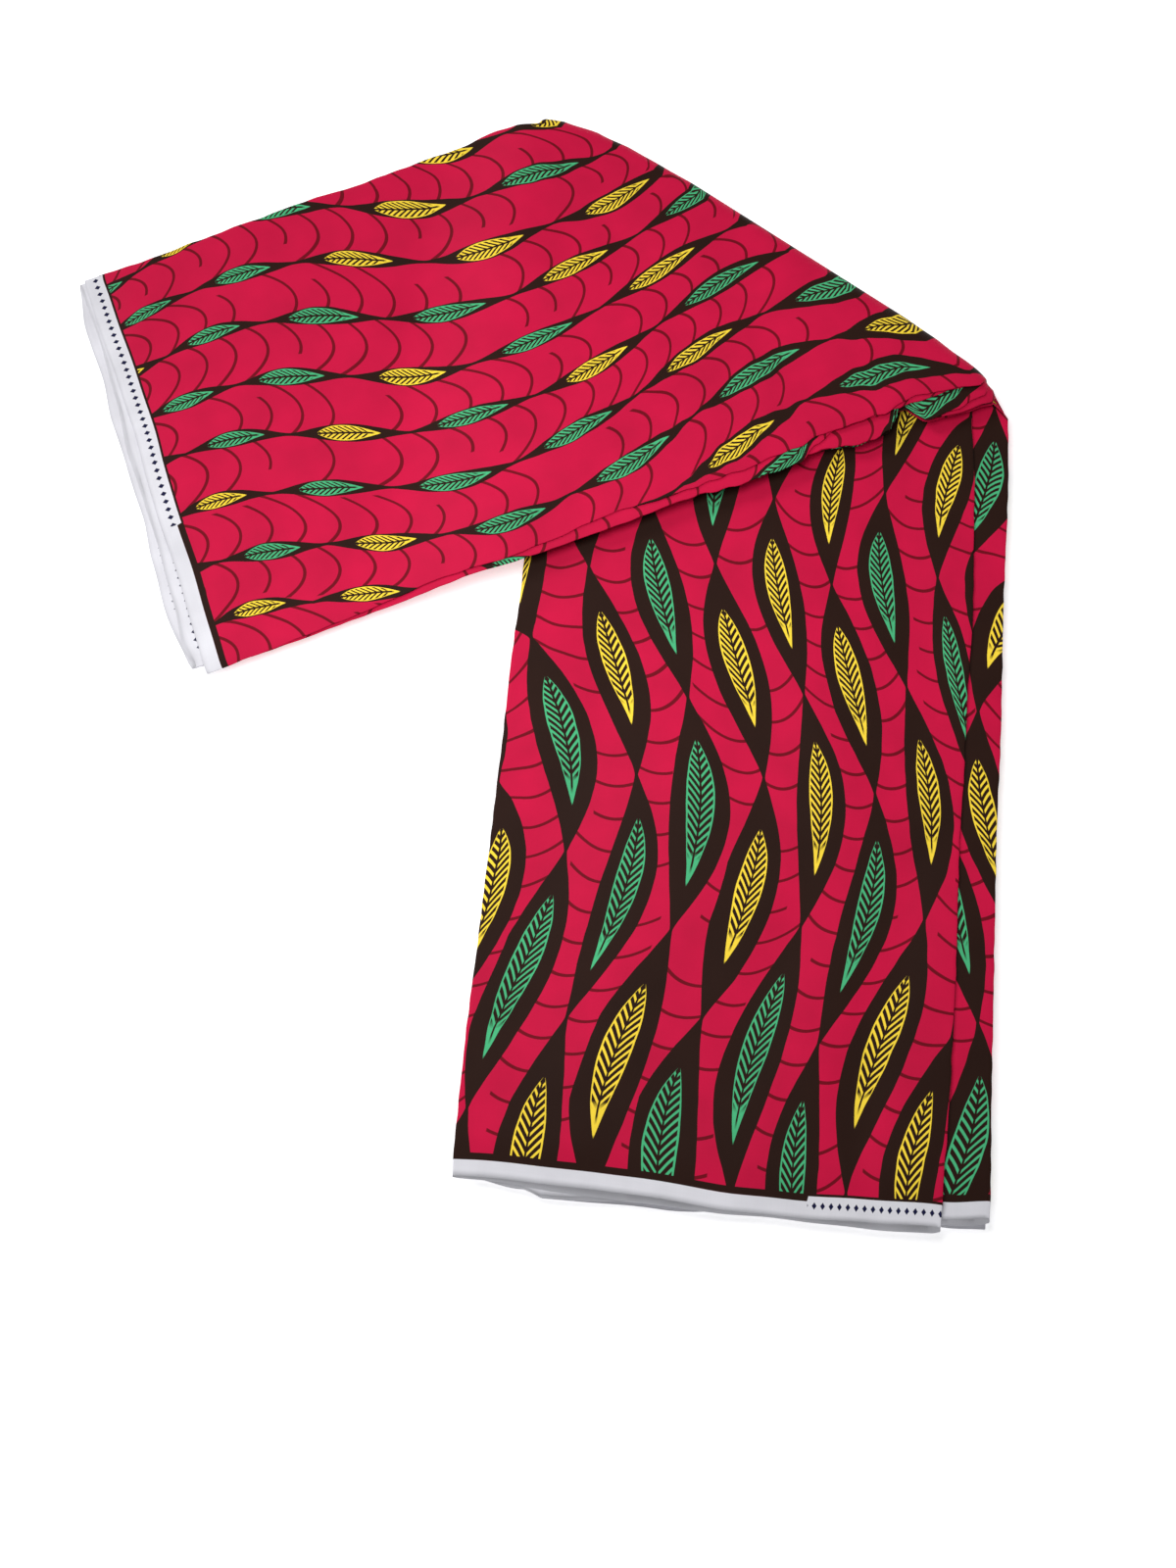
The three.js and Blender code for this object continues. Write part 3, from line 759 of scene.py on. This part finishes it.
next_stretch = calc("MULTIPLY", copy_number, enter.outputs["Print step"])
print_shift = add("ShaderNodeCombineXYZ", [(0, next_stretch)])
new_place = vector_calc("ADD", named("cloth"), print_shift.outputs[0])
mapped = stored(moved.outputs[0], "cloth", new_place, "FLOAT2", "CORNER")
dressed = add("GeometryNodeSetMaterial", [("Geometry", mapped), ("Material", enter.outputs["Cotton"])])
nest.links.new(dressed.outputs[0], leave.inputs[0])
print("tree has", len(nest.nodes), "nodes")

# %% [markdown]
# ## The cotton's weave
#
# Wax print is a plain weave: each yarn goes over one and under the next. Yarns as meshes would have far too
# many faces, so a group of shader nodes draws them from two sine waves that cross, with thicker yarns here
# and there from stretched noise. Its height goes to the material's Bump node. Arithmetic on a Term adds Math
# nodes to the tree, so that the pattern can be written as a formula.

# %% Formulas made of Math nodes
class Term:
    """A number that changes over the cloth."""

    def __init__(self, tree, socket):
        self.tree, self.socket = tree, socket

    def math(self, operation, *others):
        node = self.tree.nodes.new("ShaderNodeMath")
        node.operation = operation
        feed(node, dict(enumerate((self, *others))))
        return Term(self.tree, node.outputs[0])

    def __add__(self, other):
        return self.math("ADD", other)

    def __sub__(self, other):
        return self.math("SUBTRACT", other)

    def __mul__(self, other):
        return self.math("MULTIPLY", other)

    def __truediv__(self, other):
        return self.math("DIVIDE", other)

    __radd__, __rmul__ = __add__, __mul__

    def __rsub__(self, other):
        return self * -1 + other


def within(distance, limit, soft=0.00025):
    """1 where a distance is below a limit and 0 above it, with a soft printed edge."""
    part = (limit - distance) / soft + 0.5
    return part.math("MAXIMUM", 0.0).math("MINIMUM", 1.0)


def repeat(term):
    """The part of a term after the decimal point."""
    return term.math("FRACT")


def noise_of(tree, vector, scale, detail=2.0):
    """Soft noise over the cloth, from 0 to 1."""
    node = tree.nodes.new("ShaderNodeTexNoise")
    feed(node, {"Vector": vector, "Scale": scale, "Detail": detail})
    return Term(tree, node.outputs["Fac"])


def group(name, inputs, outputs):
    """A new shader node group with named inputs and outputs, and its two end nodes."""
    tree = bpy.data.node_groups.new(name, "ShaderNodeTree")
    for socket_name, kind, value in inputs:
        socket = tree.interface.new_socket(socket_name, in_out="INPUT", socket_type=kind)
        if value is not None:
            socket.default_value = value
    for socket_name in outputs:
        tree.interface.new_socket(socket_name, in_out="OUTPUT", socket_type="NodeSocketFloat")
    return tree, tree.nodes.new("NodeGroupInput"), tree.nodes.new("NodeGroupOutput")


def split(tree, vector):
    """The first two parts of a vector, as terms."""
    node = tree.nodes.new("ShaderNodeSeparateXYZ")
    feed(node, {0: vector})
    return Term(tree, node.outputs[0]), Term(tree, node.outputs[1])


def joined(tree, first, second):
    """A vector from two terms or numbers."""
    node = tree.nodes.new("ShaderNodeCombineXYZ")
    feed(node, {0: first, 1: second})
    return node.outputs[0]


def dice_of(tree, first, second):
    """Two random numbers from 0 to 1, the same for the same two whole numbers."""
    node = tree.nodes.new("ShaderNodeTexWhiteNoise")
    node.noise_dimensions = "2D"
    feed(node, {"Vector": joined(tree, first, second)})
    return split(tree, node.outputs["Color"])


# %% The weave
YARN = 0.00056             # two yarns side by side, in metres
ACROSS_YARN, ALONG_YARN = 900, 30  # how fast a yarn's thickness changes from yarn to yarn, and along it
TURN = 2 * math.pi

weave, weave_in, weave_out = group(
    "cotton weave",
    [("Cloth", "NodeSocketVector", None), ("Slub", "NodeSocketFloat", 0.5)],
    ["Height", "Shade"],
)
u, v = split(weave, weave_in.outputs["Cloth"])
warp = (u * (TURN / YARN)).math("SINE")
weft = (v * (TURN / YARN)).math("SINE")
slub_across = noise_of(weave, joined(weave, u * ALONG_YARN, v * ACROSS_YARN), 1.0, 1.0)
slub_along = noise_of(weave, joined(weave, u * ACROSS_YARN, v * ALONG_YARN), 1.0, 1.0)
slubs = (slub_across + slub_along) * Term(weave, weave_in.outputs["Slub"])
height = warp * weft * 0.5 + 0.5 + slubs
shade = 0.965 + (slub_across + slub_along) * 0.035
feed(weave_out, {"Height": height, "Shade": shade})
print("weave group has", len(weave.nodes), "nodes")

# %% [markdown]
# ## The print
#
# A generic leaf pattern in the family of wax prints: columns of pointed leaves on wavy stems, which run along
# the cloth from selvedge to selvedge, small at one side and long at the other. Each leaf, yellow or green,
# sits on a near-black lens, and thin wine-red rungs hang between the stems on a crimson ground. Everything is
# computed from the place on the cloth: which column and row a point lies in, and how far it is from that
# leaf's middle. Because leaves grow from row to row, the row number is the logarithm of the distance from the
# first selvedge. All sizes are in metres.

# %% Where a point lies in the pattern
COLUMN = 0.044        # from stem to stem
FIRST_PITCH = 0.066   # from leaf to leaf at the first selvedge
PITCH_GROWTH = 0.105  # and how much longer that gets for each metre across the cloth
STEM_WAVE = 0.46      # from crest to crest of a stem
STEM_SWING = 0.026    # how far a stem swings to each side
STEM_WANDER = 1.3     # along the cloth, the crests move up and down once over this length
UNSTEADY_HAND = 0.0016

leaves, leaves_in, leaves_out = group(
    "leaf print",
    [("Cloth", "NodeSocketVector", None)],
    ["Leaf", "Vein", "Surround", "Rung", "Green"],
)
cloth = leaves_in.outputs["Cloth"]
u, v = split(leaves, cloth)
hand = (noise_of(leaves, cloth, 30.0) - 0.5) * UNSTEADY_HAND
wander = (u * (TURN / STEM_WANDER)).math("SINE") * 1.4
wave = (v * (TURN / STEM_WAVE) + wander).math("SINE") * STEM_SWING
sway = u + wave + hand
column = (sway / COLUMN).math("FLOOR")
x = (repeat(sway / COLUMN) - 0.5) * COLUMN
odd = repeat(column * 0.5) * 2

log_row = (v * (PITCH_GROWTH / FIRST_PITCH) + 1).math("LOGARITHM", math.e) / PITCH_GROWTH
drift = noise_of(leaves, joined(leaves, column * 3.1, 0.5), 1.0) * 0.9
row_place = log_row + odd * 0.5 + drift
row = row_place.math("FLOOR")
pitch = v * PITCH_GROWTH + FIRST_PITCH
part_of_row = repeat(row_place) - 0.5
y = part_of_row * pitch
one, two = dice_of(leaves, column, row)
leaf_count = math.log(1 + CLOTH_WIDTH * MM * PITCH_GROWTH / FIRST_PITCH) / PITCH_GROWTH
print("about", round(leaf_count, 1), "leaves from selvedge to selvedge")

# %% [markdown]
# A leaf is a band round its middle rib whose width falls to nothing at both tips. The lens behind it does the
# same over the whole row, more steeply, so that its tips become the stem. The veins are a comb of slanting
# stripes cut out by the leaf's own shape. A rung is a curve that repeats along the gap between two stems, and
# some are left out or cut short by a throw of dice for each one.

# %% The leaf, its veins, its surround and the rungs
STEM_HALF, RIB_HALF, RUNG_HALF = 0.0011, 0.0007, 0.00105  # half widths of the three kinds of line
RUNG_GAP = 0.0225      # from rung to rung
RIB_BOW = 0.007        # how far a leaf's rib may bow to one side
RUNGS_LEFT_OUT = 0.12
LENS_GROWTH = 1.04     # how much wider the lenses of the long leaves are

half_length = pitch * (one * 0.05 + v * 0.03 + 0.245)
half_width = (v * 0.0040 + 0.0054) * (two * 0.2 + 0.9)
along_leaf = y / half_length
lens_part = part_of_row * 2
lens_shape = (1 - lens_part * lens_part).math("MAXIMUM", 0.0)
from_rib = x - (two - 0.5) * RIB_BOW * lens_shape
off_rib = from_rib.math("ABSOLUTE")
outline = (1 - along_leaf * along_leaf).math("MAXIMUM", 0.0) * (1 - along_leaf * 0.35)
leaf = within(off_rib, half_width * outline) * within(along_leaf.math("ABSOLUTE"), 0.97, 0.05)

vein_gap = v * 0.0024 + 0.0036
slant = y + off_rib * (1.5 - off_rib * 22)
comb = (repeat(slant / vein_gap) - 0.5).math("ABSOLUTE")
vein_band = within(off_rib, half_width * outline * 0.88) * within(along_leaf, 0.6, 0.1)
side_vein = within(comb, v * 0.07 + 0.22, 0.06) * vein_band
rib = within(off_rib, RIB_HALF) * within(along_leaf, 0.78, 0.1)
vein = side_vein.math("MAXIMUM", rib)

grown = (v * 3.2 - 1.0).math("MAXIMUM", 0.0).math("MINIMUM", 1.0)
lens_width = half_width * lens_shape.math("POWER", 1.8 - grown * 0.55) * (grown * LENS_GROWTH + 1.0)
surround = within(off_rib, lens_width + STEM_HALF)

gap_place = sway / COLUMN + 0.5
gap = gap_place.math("FLOOR")
side = repeat(gap_place) * 2 - 1
turned = repeat(gap * 0.5) * 4 - 1
sag, tilt = 0.85 - v * 0.45, turned * 0.3
steepness = (side * sag * 2 + tilt) * (2 * RUNG_GAP / COLUMN)
hung = side * side * sag + side * tilt + turned * 0.21
rung_place = v / RUNG_GAP + hung + noise_of(leaves, cloth, 5.0) * 1.1
rung_line = (repeat(rung_place) - 0.5).math("ABSOLUTE") * RUNG_GAP
drawn, reach = dice_of(leaves, gap + 31, rung_place.math("FLOOR"))
kept = within(RUNGS_LEFT_OUT - drawn, 0.0, 0.001) * within(side * turned, reach * 1.9 + 0.1, 0.03)
rung = within(rung_line, (steepness * steepness + 1).math("SQRT") * RUNG_HALF) * kept
green = within(0.5 - one, 0.0, 0.001)
feed(leaves_out, {"Leaf": leaf, "Vein": vein, "Surround": surround, "Rung": rung, "Green": green})
print("leaf group has", len(leaves.nodes), "nodes")

# %% [markdown]
# ## The selvedge
#
# Along both selvedges the print stops at a near-black line, and a centimetre of bare bluish white is left. On
# some stretches the line is thin and further back, and the white carries a row of plain small lozenges.

# %% The selvedge group
STRETCH = 0.62         # from one marked stretch to the next, in metres
MARKED = 0.2215        # how long a marked stretch is
FAR_SHIFT = 0.393      # how far the stretches are shifted at the far selvedge
WHITE_WIDTH, MORE_WHITE = 0.0107, 0.0032  # the white band, and how much wider it is where it is marked
LINE_WIDTH, LESS_LINE = 0.0046, 0.0029    # the line, and how much thinner it is there
LOZENGE_GAP, LOZENGE_PLACE, LOZENGE_HALF = 0.0064, 0.0082, 0.0023

edges, edges_in, edges_out = group(
    "selvedge",
    [("Cloth", "NodeSocketVector", None)],
    ["White", "Line", "Mark"],
)
u, v = split(edges, edges_in.outputs["Cloth"])
from_edge = v.math("MINIMUM", CLOTH_WIDTH * MM - v)
far_side = within(0.6 - v, 0.0, 0.01)
marked = within(repeat((u + far_side * FAR_SHIFT) / STRETCH) * STRETCH, MARKED, 0.0008)
white_width = marked * MORE_WHITE + WHITE_WIDTH
line_width = LINE_WIDTH - marked * LESS_LINE
white = within(from_edge, white_width)
line = within(from_edge, white_width + line_width) * (1 - white)
mark_u = (repeat(u / LOZENGE_GAP) - 0.5).math("ABSOLUTE") * LOZENGE_GAP
mark_v = (from_edge - LOZENGE_PLACE).math("ABSOLUTE")
mark = within(mark_u * 1.25 + mark_v, LOZENGE_HALF, 0.0004) * marked
feed(edges_out, {"White": white, "Line": line, "Mark": mark})
print("selvedge group has", len(edges.nodes), "nodes")

# %% [markdown]
# ## The printed cotton
#
# The material lays the printed colours over each other in the order in which a printer does: crimson ground,
# wine-red rungs, near-black lens, leaf, veins, and the selvedge last. Dye never takes evenly, so two sizes of
# noise make it paler and deeper. Cotton is rough, with a faint sheen from the fibres that stand up.

# %% Materials
CRIMSON, WINE, BLACK = (0.58, 0.004, 0.050, 1), (0.16, 0.001, 0.009, 1), (0.020, 0.006, 0.003, 1)
YELLOW, GREEN = (0.99, 0.71, 0.050, 1), (0.068, 0.47, 0.205, 1)
WHITE, NAVY = (0.75, 0.74, 0.785, 1), (0.007, 0.008, 0.045, 1)
BLOTCH, MOTTLE = 0.14, 0.36  # how strongly the large and the small unevenness of the dye shows
MIX_UNDER, MIX_OVER, MIX_RESULT = 6, 7, 2  # the colour sockets of a Mix node


def printed_cotton(name, painted_shade_factor):
    """Wax print cotton as a material, made a little darker or lighter all over by a painted shade factor."""
    material = bpy.data.materials.new(name)
    material.use_nodes = True
    tree = material.node_tree
    shader = tree.nodes["Principled BSDF"]
    place = tree.nodes.new("ShaderNodeUVMap")
    place.uv_map = "cloth"

    def placed(inner):
        """One of the groups above, at each place on the cloth."""
        node = tree.nodes.new("ShaderNodeGroup")
        node.node_tree = inner
        feed(node, {"Cloth": place.outputs["UV"]})
        return node

    def painted(under, over, mask, blend="MIX"):
        """One colour laid over another, or blended with it, where a mask is 1."""
        node = tree.nodes.new("ShaderNodeMix")
        node.data_type, node.blend_type = "RGBA", blend
        feed(node, {0: mask, MIX_UNDER: under, MIX_OVER: over})
        return node.outputs[MIX_RESULT]

    motif, border, cotton = placed(leaves), placed(edges), placed(weave)
    colour = painted(CRIMSON, WINE, motif.outputs["Rung"])
    colour = painted(colour, BLACK, motif.outputs["Surround"])
    leaf_colour = painted(YELLOW, GREEN, motif.outputs["Green"])
    leaf_colour = painted(leaf_colour, BLACK, motif.outputs["Vein"])
    colour = painted(colour, leaf_colour, motif.outputs["Leaf"])
    colour = painted(colour, BLACK, border.outputs["Line"])
    colour = painted(colour, WHITE, border.outputs["White"])
    colour = painted(colour, NAVY, border.outputs["Mark"])
    blotch = noise_of(tree, place.outputs["UV"], 9.0)
    mottle = noise_of(tree, place.outputs["UV"], 27.0)
    # A factor below 1 is painted shade that darkens the whole cloth, on top of the dye's unevenness from the
    # noise.
    dye_and_painted_shade = blotch * BLOTCH + mottle * MOTTLE + (painted_shade_factor - (BLOTCH + MOTTLE) / 2)
    shade = Term(tree, cotton.outputs["Shade"]) * dye_and_painted_shade
    grey = tree.nodes.new("ShaderNodeCombineColor")
    feed(grey, {0: shade, 1: shade, 2: shade})
    bump = tree.nodes.new("ShaderNodeBump")
    feed(bump, {"Strength": 0.25, "Distance": 0.0001, "Height": cotton.outputs["Height"]})
    feed(shader, {
        "Base Color": painted(colour, grey.outputs[0], 1.0, "MULTIPLY"),
        "Roughness": blotch * 0.08 + 0.6,
        "Specular IOR Level": 0.11,
        "Normal": bump.outputs["Normal"],
        "Sheen Weight": 0.03,
        "Sheen Roughness": 0.4,
    })
    return material


wax_print = printed_cotton("wax_print_cotton", 1.0)
# The inner plies take the same print 7 percent darker: painted shade for the layers that lie between the
# others.
shaded_inner_print = printed_cotton("folded_layers_cotton", 0.93)
for piece in pieces.values():
    piece.data.materials.append(wax_print)
print("materials:", wax_print.name, shaded_inner_print.name)

# %% [markdown]
# ## Run the tree
#
# The inner plies' cotton now exists, so the tree can run. Its inputs are set by their identifiers. The result
# is turned into a plain mesh and the modifier is removed, because what is exported has to be the mesh itself.

# %% Copy the inner plies
modifier = inner_plies.modifiers.new("nest", "NODES")
modifier.node_group = nest
modifier[plies_input] = NESTED
modifier[pitch_input] = PITCH * MM
modifier[slide_input] = SLIDE
modifier[print_input] = PRINT_STEP
modifier[seed_input] = SEED
modifier[cotton_input] = shaded_inner_print
bpy.context.view_layer.update()
evaluated = inner_plies.evaluated_get(bpy.context.evaluated_depsgraph_get())
baked = bpy.data.meshes.new_from_object(evaluated)
inner_plies.modifiers.clear()
inner_plies.data = baked
if not baked.materials:
    baked.materials.append(shaded_inner_print)
pieces["inner_plies"] = inner_plies
print("inner plies:", len(baked.polygons), "faces, UV maps", [layer.name for layer in baked.uv_layers])

# %% [markdown]
# ## Ride and replace
#
# Each piece rides on the one rigid body, and stands for the CAD nodes that it replaces, which are hidden.

# %% Ride and replace
REPLACED = {
    "top_ply": ["upper_arm_top_ply"],
    "second_ply": ["upper_arm_second_ply"],
    "third_ply": ["upper_arm_third_ply"],
    "inner_plies": ["upper_arm_layers", "lower_arm_layers"],
    "ledge_ply": ["lower_arm_ledge_ply"],
    "end_ply": ["lower_arm_top_ply"],
}
for name, piece in pieces.items():
    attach(piece, "root")
    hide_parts(*REPLACED[name])
print("declared:", ", ".join(pieces))
